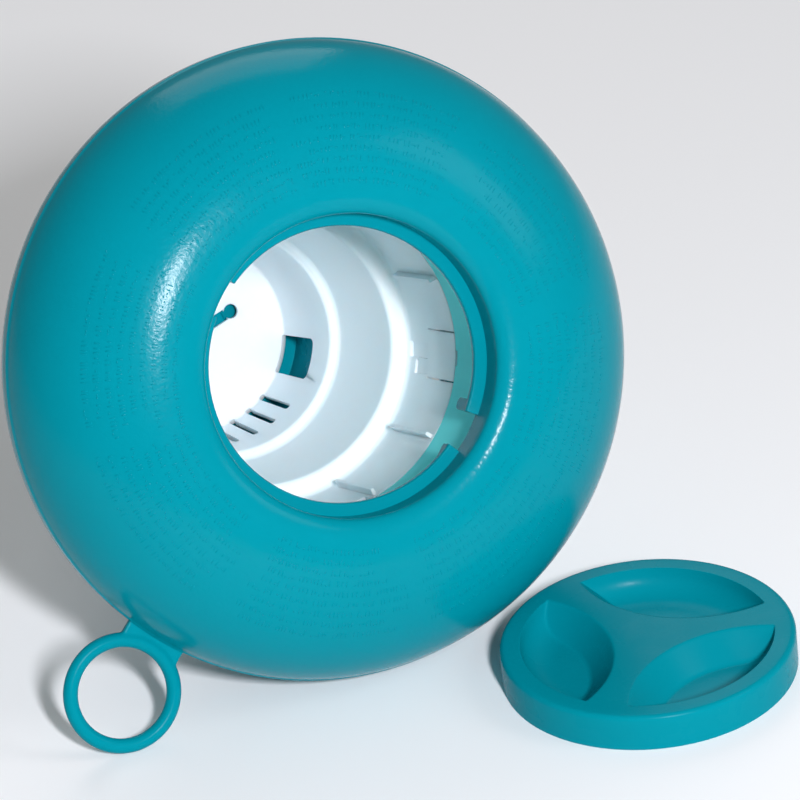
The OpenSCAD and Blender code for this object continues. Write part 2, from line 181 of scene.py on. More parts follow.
# ---------------------------------------------------------------- mesh building
def arc(x, z, rx, rz, start, end, steps):
    """Points on an elliptical arc, from start to end degrees."""
    turns = [math.radians(start + (end - start) * i / steps) for i in range(steps + 1)]
    return [(x + rx * math.cos(t), z + rz * math.sin(t)) for t in turns]


def rounded(profile, cuts, steps=5):
    """The profile with some corners rounded: cuts gives a corner's index and how far the curve reaches."""
    result = []
    for i, (r, z) in enumerate(profile):
        if i not in cuts:
            result.append((r, z))
            continue
        corner = Vector((r, z))
        before = (Vector(profile[i - 1]) - corner).normalized() * cuts[i]
        after = (Vector(profile[i + 1]) - corner).normalized() * cuts[i]
        for k in range(steps + 1):
            t = k / steps
            result.append(tuple(corner + before * (1 - t) ** 2 + after * t ** 2))
    return result


def around(stops=(), step=2.5):
    """Angles once around in even steps, with the given angles among them."""
    fixed = sorted({round(s % 360, 6) for s in stops})
    count = round(360 / step)
    loose = []
    for i in range(count):
        angle = i * step
        nearest = min((abs((angle - s + 180) % 360 - 180) for s in fixed), default=360)
        if nearest > 0.45 * step:
            loose.append(angle)
    return sorted(fixed + loose)


def between(start, end, count):
    """Evenly spaced values from start to end, both included."""
    return [start + (end - start) * i / count for i in range(count + 1)]


def skin(bm, angles, outer, inner, keep=None, bend=None, full=True):
    """Add a thick turned wall to a mesh.

    outer and inner are profile corners (r, z) in pairs. A cell lies between two angles and two
    pairs. keep(angle, i) says whether the cell after pair i is solid there, and bend(side, i, angle,
    r, z) returns a changed (r, angle, z) for a corner.
    """
    count = len(angles)
    cells = count if full else count - 1
    rows = len(outer)
    points = {}

    def corner(side, i, j):
        key = (side, i, j % count)
        if key not in points:
            r, z = (outer, inner)[side][i]
            angle = angles[j % count]
            if bend:
                r, angle, z = bend(side, i, angle, r, z)
            points[key] = bm.verts.new(polar(r, angle, z))
        return points[key]

    def solid(i, j):
        if not 0 <= i < rows - 1:
            return False
        if full:
            j %= count
        elif not 0 <= j < cells:
            return False
        if keep is None:
            return True
        width = (angles[(j + 1) % count] - angles[j]) % 360
        return keep(angles[j] + width / 2, i)

    def face(*corners):
        if len(set(corners)) == len(corners):
            bm.faces.new(corners)

    for j in range(cells):
        for i in range(rows - 1):
            if not solid(i, j):
                continue
            a, b, c, d = (i, j), (i + 1, j), (i + 1, j + 1), (i, j + 1)
            face(*(corner(0, *p) for p in (a, b, c, d)))
            face(*(corner(1, *p) for p in (d, c, b, a)))
            sides = (((a, d), (i - 1, j)), ((c, b), (i + 1, j)), ((b, a), (i, j - 1)), ((d, c), (i, j + 1)))
            for (p, q), neighbour in sides:
                if not solid(*neighbour):
                    face(corner(0, *p), corner(0, *q), corner(1, *q), corner(1, *p))


def finish_mesh(bm, name, place, bevel=0.0, segments=2, limit=35):
    """Put the mesh on the table and return its object, smooth apart from its bevelled edges."""
    bmesh.ops.remove_doubles(bm, verts=bm.verts, dist=0.0005)
    bmesh.ops.dissolve_degenerate(bm, edges=bm.edges, dist=0.0001)
    bmesh.ops.recalc_face_normals(bm, faces=bm.faces)
    bm.transform(place)
    mesh = bpy.data.meshes.new(name)
    bm.to_mesh(mesh)
    bm.free()
    for polygon in mesh.polygons:
        polygon.use_smooth = True
    obj = bpy.data.objects.new(name, mesh)
    bpy.context.scene.collection.objects.link(obj)
    if bevel:
        modifier = obj.modifiers.new("edges", "BEVEL")
        modifier.width = bevel * MM
        modifier.segments = segments
        modifier.limit_method = "ANGLE"
        modifier.angle_limit = math.radians(limit)
        modifier.harden_normals = True
    return obj


def subtract(obj, cutter):
    """Cut one object out of another for good, and remove the cutter."""
    modifier = obj.modifiers.new("cut", "BOOLEAN")
    modifier.operation = "DIFFERENCE"
    modifier.solver = "EXACT"
    modifier.object = cutter
    with bpy.context.temp_override(object=obj, active_object=obj):
        bpy.ops.object.modifier_move_to_index(modifier=modifier.name, index=0)
        bpy.ops.object.modifier_apply(modifier=modifier.name)
    bpy.data.objects.remove(cutter)


def prism(bm, outline, base, along, height):
    """Add a straight prism: outline is a list of points, base shifts it, and along is its direction."""
    low = [bm.verts.new(base + p) for p in outline]
    high = [bm.verts.new(base + p + along * height) for p in outline]
    bm.faces.new(low)
    bm.faces.new(reversed(high))
    for i in range(len(outline)):
        k = (i + 1) % len(outline)
        bm.faces.new((low[i], high[i], high[k], low[k]))


def disc(u, v, radius, steps=32):
    """Outline of a circle in the plane of two unit vectors."""
    turns = [2 * math.pi * i / steps for i in range(steps)]
    return [u * radius * math.cos(t) + v * radius * math.sin(t) for t in turns]


def oblong(u, v, width, length, steps=12):
    """Outline of a bar along v that starts square at the origin and has a round far end."""
    half = width / 2
    end = [u * half * math.cos(t) + v * (length - half + half * math.sin(t))
           for t in (math.pi * i / steps for i in range(steps + 1))]
    return [u * half] + end + [u * -half]


# ---------------------------------------------------------------- float shells
def crown(inset):
    """Profile of the ring's upper half, from the seam over the crest to the back of the recess."""
    start = math.degrees(math.asin((SEAM_Z + CROWN_FROM) / CREST_H))
    over = arc(CREST_R, 0, FLOAT_R - CREST_R - inset, CREST_H - inset, start, 90, 40)
    lip = arc(CREST_R, CREST_H - LIP_H, LIP_W - inset, LIP_H - inset, 90, 180, 14)[1:]
    wall = [(RECESS_R + inset, z) for z in RECESS_WALL_Z]
    return over + lip + wall + [(RECESS_R + inset, DECK_Z + inset)]


def upper_shell():
    """Upper half of the ring, with the small bead that runs along its seam."""
    bead_r = FLOAT_R + BEAD_OUT
    bead = [(FLOAT_R - 0.05, SEAM_Z), (bead_r, SEAM_Z + BEAD_LOW), (bead_r, SEAM_Z + BEAD_HIGH)]
    back = [(FLOAT_R - SHELL_WALL, z) for _, z in bead]
    bm = bmesh.new()
    skin(bm, around(step=1.5), bead + crown(0), back + crown(SHELL_WALL))
    return finish_mesh(bm, "upper_float_skin", FLOAT, 0.25)


def neck():
    """Tube from the lid's seat down into the basket's rim, with two small notches in its lower edge."""
    heights = between(DECK_Z, NECK_NOTCH_H - NECK_DROP, 8) + [-NECK_DROP]
    stops = [angle + turn for turn in (0, 180) for angle in NECK_NOTCH]

    def keep(angle, i):
        return i < len(heights) - 2 or not NECK_NOTCH[0] < angle % 180 < NECK_NOTCH[1]

    bm = bmesh.new()
    inner = [(NECK_R, z) for z in heights]
    outer = [(NECK_OUT, z) for z in heights]
    skin(bm, around(stops, 2.5), inner, outer, keep)
    return finish_mesh(bm, "float_neck", FLOAT, 0.2)


def flange_segments():
    """Flange segments, each with a stop lug and an entry ramp, and the step ring behind them."""
    span = 360 / FLANGE_GAPS - FLANGE_GAP
    root = RECESS_R + FLANGE_TUCK
    edge = FLANGE_R + FLANGE_EDGE_W
    front = [(root, RECESS_Z), (edge, RECESS_Z), (FLANGE_R, RECESS_Z - FLANGE_EDGE_H)]
    back = [(root, FLANGE_Z), (edge, FLANGE_Z), (FLANGE_R, FLANGE_Z + FLANGE_EDGE_H)]
    bm = bmesh.new()
    for k in range(FLANGE_GAPS):
        start = FLANGE_GAP_AT + FLANGE_GAP / 2 + 360 * k / FLANGE_GAPS
        skin(bm, between(start, start + span, 48), front, back, full=False)
        add_stop_lug(bm, start + math.degrees(math.asin(STOP_LUG_W / 2 / FLANGE_R)))
        add_ramp(bm, start + span)
    step = [(r, DECK_Z) for r in (RECESS_R, NECK_R + 1)]
    skin(bm, around(step=2.5), step, [(r, z + DECK_T) for r, z in step])
    return finish_mesh(bm, "float_flange", FLOAT, 0.3, 3)


def add_stop_lug(bm, angle):
    """Round-ended bar that reaches into the mouth from a segment's end."""
    out = polar(1, angle, 0)
    side = polar(1, angle + 90, 0)
    outline = oblong(side, Vector((0, 0, -1)), STOP_LUG_W, STOP_LUG_LEN)
    prism(bm, outline, out * (FLANGE_R + 0.2) + Vector((0, 0, RECESS_Z - 0.4)), out, STOP_LUG_T)


def add_ramp(bm, end):
    """Wedge behind a segment's last few millimetres."""
    out = polar(1, end, 0)
    side = polar(1, end - 90, 0)
    down = Vector((0, 0, -1))
    end_face = side * 0.05
    toe = side * RAMP_LEN
    outline = [end_face, toe, toe + down * RAMP_TOE]
    outline += [side * RAMP_FLAT + down * RAMP_H, end_face + down * RAMP_H]
    prism(bm, outline, out * (FLANGE_R + 0.3) + Vector((0, 0, FLANGE_Z + 0.3)), out, RAMP_T)


def keel(inset):
    """Profile of the ring's lower half, from the seam down to its flat foot."""
    under = arc(KEEL_R, 0, FLOAT_R - KEEL_R - inset, KEEL_H - inset, 0, -90, 34)
    return [p for p in under if p[1] < TETHER_Z - TAB_PLATE_T / 2 - 0.6]


def lower_shell():
    """Lower half of the ring and the basket's socket, with a slot in the seam for the tether's plate."""
    seam_z = SEAM_Z - SEAM_GAP
    slot_z = TETHER_Z - TAB_PLATE_T / 2 - 0.1
    outer = [(FLOAT_R - 0.1, seam_z), (FLOAT_R, slot_z)] + keel(0)
    inner = [(FLOAT_R - SHELL_WALL, seam_z), (FLOAT_R - SHELL_WALL, slot_z)] + keel(SHELL_WALL)
    socket_out = SOCKET_R + SHELL_WALL
    foot_z = SHELL_WALL - KEEL_H
    outer += [(SOCKET_R + 1, -KEEL_H), (SOCKET_R, 1 - KEEL_H), (SOCKET_R, SOCKET_TOP)]
    inner += [(socket_out, foot_z), (socket_out, foot_z + 0.2), (socket_out, SOCKET_TOP)]
    half = math.degrees(math.asin((TAB_PLATE_W / 2 + 0.3) / FLOAT_R))

    def keep(angle, i):
        return i > 0 or abs((angle - TETHER_AT + 180) % 360 - 180) > half

    bm = bmesh.new()
    skin(bm, around((TETHER_AT - half, TETHER_AT + half), 1.5), outer, inner, keep)
    return finish_mesh(bm, "lower_float_skin", FLOAT, 0.2)


def shoulder_point(r, angle, rise):
    """Point a little above the ring's upper surface."""
    x = (r - CREST_R) / (FLOAT_R - CREST_R)
    z = CREST_H * math.sqrt(1 - x * x)
    slope = -CREST_H * x / ((FLOAT_R - CREST_R) * math.sqrt(1 - x * x))
    length = math.hypot(slope, 1)
    return polar(r - rise * slope / length, angle, z + rise / length)


def raised_marks():
    """Rows of short raised strokes on the ring's shoulder, in groups and blocks with gaps between."""
    chance = random.Random(11)
    bm = bmesh.new()
    for block in range(MARK_BLOCKS):
        for row in range(MARK_ROWS):
            r = MARK_R + row * MARK_PITCH
            place = MARK_FROM + 360 * block / MARK_BLOCKS + chance.uniform(0, 3)
            end = MARK_FROM + 360 * (block + 1) / MARK_BLOCKS - MARK_GAP - chance.uniform(0, 7)
            while place < end:
                for _ in range(chance.randint(3, 9)):
                    add_mark(bm, chance, r, place)
                    place += math.degrees(chance.uniform(*MARK_STEP) / r)
                place += math.degrees(MARK_SPACE / r)
    return finish_mesh(bm, "raised_marks", FLOAT)


def add_mark(bm, chance, r, angle):
    """One stroke: mostly along the radius, sometimes across it."""
    half = MARK_WIDTH / 2
    reach = MARK_LENGTH / 2 * chance.choice((1.0, 1.0, 0.7))
    across = chance.random() < 0.3
    low, high = (-half, half) if across else (-reach, reach)
    if across and chance.random() < 0.5:
        low += reach - half
        high += reach - half
    turn = math.degrees((MARK_ACROSS if across else half) / r)
    foot = [(low, -turn), (high, -turn), (high, turn), (low, turn)]
    top = [(rr * 0.75 + (low + high) / 8, t * 0.6) for rr, t in foot]
    rings = [[bm.verts.new(shoulder_point(r + rr, angle + t, rise)) for rr, t in outline]
             for outline, rise in ((foot, -MARK_SINK), (top, MARK_RISE))]
    bm.faces.new(rings[0][::-1])
    bm.faces.new(rings[1])
    for i in range(4):
        k = (i + 1) % 4
        bm.faces.new((rings[0][i], rings[0][k], rings[1][k], rings[1][i]))


# ---------------------------------------------------------------- tether ring
def tether():
    """Ring and flat tab, melted into one moulded piece."""
    bm = bmesh.new()
    rows = []
    for a in (2 * math.pi * i / RING_STEPS for i in range(RING_STEPS)):
        row = []
        for b in (2 * math.pi * i / BAR_STEPS for i in range(BAR_STEPS)):
            r = TETHER_R + TETHER_BAR * math.cos(b)
            row.append(bm.verts.new((r * math.cos(a), r * math.sin(a), TETHER_BAR * math.sin(b))))
        rows.append(row)
    for row, after in zip(rows, rows[1:] + rows[:1]):
        for i in range(BAR_STEPS):
            k = (i + 1) % BAR_STEPS
            bm.faces.new((row[i], after[i], after[k], row[k]))
    half = TAB_PLATE_W / 2
    thick = TAB_PLATE_T / 2
    root = TOE_R - TETHER_D
    toe = [Vector((root, y, -thick)) for y in (-half - TOE_OUT, half + TOE_OUT)]
    forward = Vector((TOE_LEN, 0, 0))
    prism(bm, [toe[0], toe[0] + forward, toe[1] + forward, toe[1]], Vector(), UP, TAB_PLATE_T)
    reach = -math.sqrt(TETHER_R ** 2 - half ** 2)
    inside = [Vector((-TETHER_R * math.cos(t), TETHER_R * math.sin(t), -thick))
              for t in between(math.asin(half / TETHER_R), -math.asin(half / TETHER_R), 12)]
    outline = [Vector((root + 1, -half, -thick)), Vector((reach - 1, -half, -thick))] + inside[::-1]
    outline += [Vector((reach - 1, half, -thick)), Vector((root + 1, half, -thick))]
    prism(bm, outline, Vector(), UP, TAB_PLATE_T)
    turn = Matrix.Rotation(math.radians(TETHER_AT - 90), 4, "Z")
    place = FLOAT @ Matrix.Translation((0, 0, TETHER_Z)) @ turn @ Matrix.Translation((TETHER_D, 0, 0))
    obj = finish_mesh(bm, "tether_ring_moulded", place)
    melt = obj.modifiers.new("melt", "REMESH")
    melt.mode = "VOXEL"
    melt.voxel_size = MELT_SIZE * MM
    melt.use_smooth_shade = True
    soften = obj.modifiers.new("soften", "SMOOTH")
    soften.iterations = MELT_ROUNDS
    return obj


# ---------------------------------------------------------------- basket
def cuts():
    """Middle angle, half width in degrees and corner radius in degrees of each opening in the wall."""
    found = []
    for group in range(VENT_GROUPS):
        turn = 360 * group / VENT_GROUPS
        found.append((WINDOW_AT + turn, WINDOW_W / 2, WINDOW_CORNER))
        for i in range(SLOT_COUNT):
            step = (i - (SLOT_COUNT - 1) / 2) * SLOT_PITCH
            found.append((SLOT_AT + turn + step, SLOT_W / 2, SLOT_W / 2 - 0.1))
    mid_r = (LOW_R + LOW_END_R + BASKET_WALL) / 2
    return [(at, math.degrees(half / mid_r), math.degrees(corner / mid_r)) for at, half, corner in found]


def inside_cut(angle, openings):
    """Whether an angle lies within any of the wall's openings."""
    return any(abs((angle - at + 180) % 360 - 180) < half for at, half, _ in openings)


def low_wall_r(z):
    """Inner radius of the bottom section at a height."""
    return LOW_END_R + (LOW_R - LOW_END_R) * (z - FLOOR_Z) / (LEDGE2_Z - FLOOR_Z)


def basket_body():
    """Stepped wall and floor of the basket, with its windows, slots, rim notches and snap tabs."""
    wall = BASKET_WALL
    openings = cuts()
    tab_half = math.degrees(math.asin(TAB_W / 2 / BASKET_IN))
    slit_half = math.degrees(SLIT_W / 2 / BASKET_IN)
    notch_half = math.degrees(RIM_NOTCH_W / 2 / BASKET_IN)
    tab_z = RIM_Z - TAB_LEN
    notch_z = RIM_Z - RIM_NOTCH_D
    top = FLOOR_Z + WINDOW_H
    upper = [(BASKET_IN, z) for z in (RIM_Z, notch_z, (notch_z + tab_z) / 2, tab_z, (tab_z + LEDGE1_Z) / 2)]
    inner = upper + [(BASKET_IN, LEDGE1_Z), (MID_R, LEDGE1_Z), (MID_END_R, LEDGE2_Z), (LOW_R, LEDGE2_Z)]
    outer = [(r + wall, z) for r, z in upper]
    outer += [(BASKET_OUT, LEDGE1_Z - wall), (MID_R + wall, LEDGE1_Z - wall)]
    outer += [(MID_END_R + wall, LEDGE2_Z - wall), (LOW_R + wall, LEDGE2_Z - wall)]
    below = LEDGE2_Z - 5
    inner.append((low_wall_r(below), below))
    outer.append((low_wall_r(below) + wall, below))
    inner = rounded(inner, LEDGE_ROUNDS)
    outer = rounded(outer, LEDGE_ROUNDS)
    first_window_row = len(inner)
    corner = WINDOW_CORNER
    for step in between(0, 90, 5):
        z = top - corner + corner * math.cos(math.radians(step))
        inner.append((low_wall_r(z), z))
        outer.append((low_wall_r(z) + wall, z))
    floor_row = len(inner)
    inner += [(low_wall_r(FLOOR_Z), FLOOR_Z), (PIVOT_HOLE_R, FLOOR_Z)]
    outer += [(low_wall_r(FLOOR_Z) + wall, FLOOR_Z - wall), (PIVOT_HOLE_R, FLOOR_Z - wall)]
    inner = rounded(inner, {floor_row: FLOOR_ROUND}, FLOOR_ROUND_STEPS)
    outer = rounded(outer, {floor_row: FLOOR_ROUND}, FLOOR_ROUND_STEPS)
    last_window_row = floor_row + FLOOR_ROUND_STEPS
    stops = [at + side * half for at, half, _ in openings for side in (-1, 1)]
    for turn in (0, 180):
        for side in (-1, 1):
            slit_at = TAB_AT + turn + side * tab_half
            stops += [slit_at - slit_half, slit_at + slit_half]
            stops.append(RIM_NOTCH_AT + turn + side * notch_half)

    def keep(angle, i):
        if first_window_row <= i < last_window_row:
            return not inside_cut(angle, openings)
        from_tab = abs((angle - TAB_AT + 90) % 180 - 90)
        if i < 3 and abs(from_tab - tab_half) < slit_half:
            return False
        from_notch = abs((angle - RIM_NOTCH_AT + 90) % 180 - 90)
        return i > 0 or from_notch > notch_half

    def bend(side, i, angle, r, z):
        if not first_window_row <= i < last_window_row:
            return r, angle, z
        for at, half, round_by in openings:
            off = (angle - at + 180) % 360 - 180
            if abs(abs(off) - half) < 0.001:
                share = max(0.0, (z - (top - corner)) / corner)
                inward = round_by * (1 - math.sqrt(max(0.0, 1 - share * share)))
                return r, angle - math.copysign(inward, off), z
        return r, angle, z

    bm = bmesh.new()
    skin(bm, around(stops, 3.0), outer, inner, keep, bend)
    basket = finish_mesh(bm, "basket_body", FLOAT, 0.3)
    for cutter in (keyhole_slot(), keyhole_hole(), tab_pockets()):
        subtract(basket, cutter)
    return basket


def keyhole_slot():
    """Cutter for the slot that joins the keyhole to the pivot's hole."""
    bm = bmesh.new()
    out = polar(1, KEYHOLE_AT, 0)
    side = polar(1, KEYHOLE_AT + 90, 0)
    reach = out * (KEYHOLE_REACH - 2)
    half = side * (KEYHOLE_W / 2)
    base = Vector((0, 0, FLOOR_Z - BASKET_WALL - 1))
    prism(bm, [half, -half, reach - half, reach + half], base, UP, 4)
    return finish_mesh(bm, "slot_cutter", FLOAT)


def keyhole_hole():
    """Cutter for the keyhole's round end."""
    bm = bmesh.new()
    out = polar(1, KEYHOLE_AT, 0)
    outline = disc(out, polar(1, KEYHOLE_AT + 90, 0), KEYHOLE_R)
    prism(bm, outline, out * KEYHOLE_REACH + Vector((0, 0, FLOOR_Z - BASKET_WALL - 1)), UP, 4)
    return finish_mesh(bm, "hole_cutter", FLOAT)


def tab_pockets():
    """Cutter for the shallow steps moulded into the wall under each snap tab."""
    bm = bmesh.new()
    for turn in (0, 180):
        for off, width, low, high in TAB_POCKETS:
            out = polar(1, TAB_AT + turn + off, 0)
            side = polar(width / 2, TAB_AT + turn + off + 90, 0)
            near = out * (BASKET_IN - 1)
            far = out * (BASKET_IN + TAB_POCKET_DEPTH)
            base = Vector((0, 0, LEDGE1_Z + low))
            prism(bm, [near + side, near - side, far - side, far + side], base, UP, high - low)
    return finish_mesh(bm, "pocket_cutter", FLOAT)


def basket_details():
    """Ribs inside the top section, snap hooks, the collar under the float and the stop pin."""
    bm = bmesh.new()
    top = RIM_Z - 1.5
    bottom = LEDGE1_Z + RIB_CLEAR
    for turn in (0, 180):
        for step in RIB_STEPS:
            add_rib(bm, TAB_AT + turn + step, bottom, top)
        add_hook(bm, TAB_AT + turn)
    ring = [(BASKET_OUT - 0.5, COLLAR_Z), (COLLAR_R, COLLAR_Z)]
    skin(bm, around(step=3.0), ring, [(r, z - COLLAR_H) for r, z in ring])
    pin = disc(Vector((1, 0, 0)), Vector((0, 1, 0)), PIN_R, 20)
    prism(bm, pin, polar(STOP_PATH_R, 0, FLOOR_Z - BASKET_WALL - 2), UP, PIN_H)
    return finish_mesh(bm, "basket_details", FLOAT, 0.25)


def add_rib(bm, angle, bottom, top):
    """Upright rib inside the basket's top section, narrower at its crest."""
    out = polar(1, angle, 0)
    side = polar(1, angle + 90, 0)
    half = RIB_T / 2
    inner = BASKET_IN - RIB_H
    outer = BASKET_IN + 0.6
    crest = half * RIB_TAPER
    outline = [side * half + out * outer, side * -half + out * outer]
    outline += [side * -crest + out * inner, side * crest + out * inner]
    prism(bm, outline, Vector((0, 0, bottom)), UP, top - bottom)


def add_hook(bm, angle):
    """Wedge on a snap tab's outside, a little narrower than the tab."""
    out = polar(1, angle, 0)
    side = polar(1, angle + 90, 0)
    root = out * (BASKET_OUT - HOOK_TUCK)
    rise = UP * HOOK_H
    outline = [root, out * (BASKET_OUT + HOOK_OUT), out * (BASKET_OUT - HOOK_TUCK / 2) + rise, root + rise]
    width = TAB_W - 4
    prism(bm, outline, side * (-width / 2) + UP * (RIM_Z - HOOK_DROP), side, width)


# ---------------------------------------------------------------- flow adjuster
def adjuster():
    """Cup with grip ribs around its outside, a notch for each vent group and a boss in its floor."""
    wall_out = ADJUSTER_R - GRIP_R / 2
    inner_r = ADJUSTER_R - ADJUSTER_WALL
    rim = BASE_Z + ADJUSTER_H
    notch_z = rim - NOTCH_DEPTH
    boss_foot = BOSS_R + 0.6
    levels = (rim, rim - RIM_PLAIN, notch_z, BASE_Z + GRIP_FROM)
    outer = [(wall_out, z) for z in levels]
    outer += [(ADJUSTER_R, BASE_Z + FOOT_H), (ADJUSTER_R, BASE_Z)]
    outer += [(boss_foot, BASE_Z), (BOSS_R, BASE_Z), (0, BASE_Z)]
    inner = [(inner_r, z) for z in levels]
    inner += [(inner_r, BASE_Z + FOOT_H), (inner_r, ADJUSTER_FLOOR_Z)]
    inner += [(boss_foot, ADJUSTER_FLOOR_Z), (BOSS_R, BOSS_Z), (0, BOSS_Z)]
    notches = [NOTCH_AT + 360 * k / VENT_GROUPS for k in range(VENT_GROUPS)]

    def from_notch(angle):
        return min(abs((angle - at + 180) % 360 - 180) for at in notches)

    def keep(angle, i):
        return i > 1 or from_notch(angle) > NOTCH_ANGLE / 2

    def bend(side, i, angle, r, z):
        low_grip = from_notch(angle) < NOTCH_ANGLE / 2 + 2
        if side == 0 and (i in (2, 3) or (i == 1 and not low_grip)):
            phase = (angle * GRIP_COUNT / 360) % 1 - 0.5
            if abs(phase) < GRIP_SHARE / 4:
                r += GRIP_H * max(0.0, math.cos(phase * math.pi * 2 / GRIP_SHARE))
        return r, angle, z

    stops = [at + side * NOTCH_ANGLE / 2 for at in notches for side in (-1, 1)]
    bm = bmesh.new()
    skin(bm, around(stops, 1.0), outer, inner, keep, bend)
    return finish_mesh(bm, "adjuster_cup", FLOAT, 0.3)


def pivot():
    """Split stem with its snap head."""
    head_z = FLOOR_Z + PIVOT_GAP
    head_top = head_z + HEAD_H
    outer = [(STEM_R, BOSS_Z - 1), (STEM_R, head_z), (PIVOT_HOLE_R + HEAD_OUT, head_z)]
    outer += [(STEM_R - 0.4, head_top), (0.01, head_top)]
    inner = [(0, BOSS_Z - 1), (0, head_z - 0.2), (0, head_z), (0, head_z + 1), (0, head_z + 1.8)]
    bm = bmesh.new()
    skin(bm, around(step=7.5), outer, inner)
    stem = finish_mesh(bm, "adjuster_pivot", FLOAT, 0.25)
    bm = bmesh.new()
    x = Vector((SPLIT_W / 2, 0, 0))
    y = Vector((0, 9, 0))
    prism(bm, [x - y, x + y, y - x, -x - y], Vector((0, 0, BOSS_Z + 0.6)), UP, 9)
    subtract(stem, finish_mesh(bm, "split_cutter", FLOAT))
    return stem


def stop_blocks():
    """Two blocks on the cup's floor that meet the basket's pin at either end of the turn."""
    long, wide = STOP_HALF
    step = math.degrees(math.asin((wide + PIN_R + PIVOT_GAP) / STOP_PATH_R))
    bm = bmesh.new()
    for angle in (step, -ADJUSTER_TURN - step):
        out = polar(1, angle, 0)
        along = out * long
        side = polar(wide, angle + 90, 0)
        outline = [along + side, along - side, -along - side, side - along]
        prism(bm, outline, out * STOP_PATH_R + Vector((0, 0, ADJUSTER_FLOOR_Z - 0.2)), UP, STOP_H)
    return finish_mesh(bm, "adjuster_stops", FLOAT, 0.3)


# ---------------------------------------------------------------- lid
def soft_min(a, b, width):
    """The smaller of two values, rounded where they cross."""
    h = max(width - abs(a - b), 0) / width
    return min(a, b) - h * h * width / 4


def finger_depth(r, angle):
    """How deep the lid's face is at a place: bowls that meet a slanting wall along the web."""
    deepest = 0.0
    for k in range(FINGER_RECESSES):
        off = math.radians(angle - 90 - LID_TURN - 360 * k / FINGER_RECESSES)
        x = r * math.cos(off)
        y = r * math.sin(off)
        share = min(1.0, max(0.0, (r - BOWL_R) / (LENS_R - BOWL_R)))
        from_rim = FINGER_DEPTH * math.sqrt(1 - share ** BOWL_POWER) - max(0.0, r - LENS_R)
        from_web = (LENS_R - math.hypot(x - LENS_SHIFT, y)) * FINGER_DEPTH / (VALLEY - WEB_HALF)
        if x > 0:
            deepest = max(deepest, -soft_min(-soft_min(from_rim, from_web, 0.9), 0, 0.5))
    return deepest


def lid():
    """Round cap, hollow below, with its face pushed down where the finger recesses are."""
    face_r = LID_R - LID_ROUND
    inside = LID_R - LID_WALL
    under = LID_H - LID_WALL
    radii = [0.0] + between(4, WEB_HALF - 1, 5) + between(WEB_HALF - 0.6, LENS_R + 1.4, 96)
    radii += [LENS_R + 2.5, face_r]
    outer = [(r, LID_H) for r in radii]
    inner = [(min(r, inside), under) for r in radii]
    edge = arc(face_r, LID_H - LID_ROUND, LID_ROUND, LID_ROUND, 90, 0, 6)[1:]
    outer += edge + [(LID_R, z) for z in LID_SIDE_Z]
    inner[-1] = (inside, under)
    inner += [(inside, under - 0.05 * (k + 1)) for k in range(len(edge))]
    inner += [(inside, z) for z in LID_SIDE_Z]
    face_rows = len(radii) - 1

    def bend(side, i, angle, r, z):
        if i < face_rows and r < LENS_R + 2:
            z -= finger_depth(outer[i][0], angle)
        return r, angle, z

    bm = bmesh.new()
    skin(bm, around(step=0.6), outer, inner, bend=bend)
    return finish_mesh(bm, "lid_cap", LID, 0.25, limit=60)


# ---------------------------------------------------------------- materials
def plastic(name, colour, roughness, bump, shine, translucent=0.0):
    """Moulded plastic: faint colour drift, uneven gloss and a fine moulded grain."""
    material = bpy.data.materials.new(name)
    material.use_nodes = True
    nodes = material.node_tree.nodes
    links = material.node_tree.links
    surface = nodes["Principled BSDF"]
    place = nodes.new("ShaderNodeTexCoord")

    def noise(scale, detail):
        node = nodes.new("ShaderNodeTexNoise")
        node.inputs["Scale"].default_value = scale
        node.inputs["Detail"].default_value = detail
        links.new(place.outputs["Object"], node.inputs["Vector"])
        return node.outputs["Fac"]

    drift = nodes.new("ShaderNodeMix")
    drift.data_type = "RGBA"
    drift.inputs["A"].default_value = (*(c * 0.95 for c in colour), 1)
    drift.inputs["B"].default_value = (*(min(1, c * 1.05) for c in colour), 1)
    links.new(noise(scale=22, detail=3), drift.inputs["Factor"])
    links.new(drift.outputs["Result"], surface.inputs["Base Color"])
    gloss = nodes.new("ShaderNodeMapRange")
    gloss.inputs["From Min"].default_value = 0.3
    gloss.inputs["From Max"].default_value = 0.7
    gloss.inputs["To Min"].default_value = roughness * 0.85
    gloss.inputs["To Max"].default_value = roughness * 1.2
    links.new(noise(scale=90, detail=4), gloss.inputs["Value"])
    links.new(gloss.outputs["Result"], surface.inputs["Roughness"])
    grain = nodes.new("ShaderNodeBump")
    grain.inputs["Strength"].default_value = bump
    grain.inputs["Distance"].default_value = 0.0002
    links.new(noise(scale=700, detail=2), grain.inputs["Height"])
    links.new(grain.outputs["Normal"], surface.inputs["Normal"])
    surface.inputs["IOR"].default_value = 1.46
    surface.inputs["Specular IOR Level"].default_value = shine
    surface.inputs["Subsurface Weight"].default_value = translucent
    surface.inputs["Subsurface Radius"].default_value = (0.7, 0.9, 1.0)
    surface.inputs["Subsurface Scale"].default_value = 0.004
    return material


def floor_material():
    material = bpy.data.materials.new("pale_floor")
    material.use_nodes = True
    nodes = material.node_tree.nodes
    surface = nodes["Principled BSDF"]
    speckle = nodes.new("ShaderNodeTexNoise")
    speckle.inputs["Scale"].default_value = 3
    ramp = nodes.new("ShaderNodeValToRGB")
    ramp.color_ramp.elements[0].color = (0.90, 0.90, 0.90, 1)
    ramp.color_ramp.elements[1].color = (0.94, 0.94, 0.94, 1)
    material.node_tree.links.new(speckle.outputs["Fac"], ramp.inputs["Fac"])
    material.node_tree.links.new(ramp.outputs["Color"], surface.inputs["Base Color"])
    surface.inputs["Roughness"].default_value = 0.7
    surface.inputs["Specular IOR Level"].default_value = 0.1
    return material


def dress(obj, body, slot, material, *nodes):
    obj.data.materials.append(material)
    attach(obj, body)
    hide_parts(*nodes)


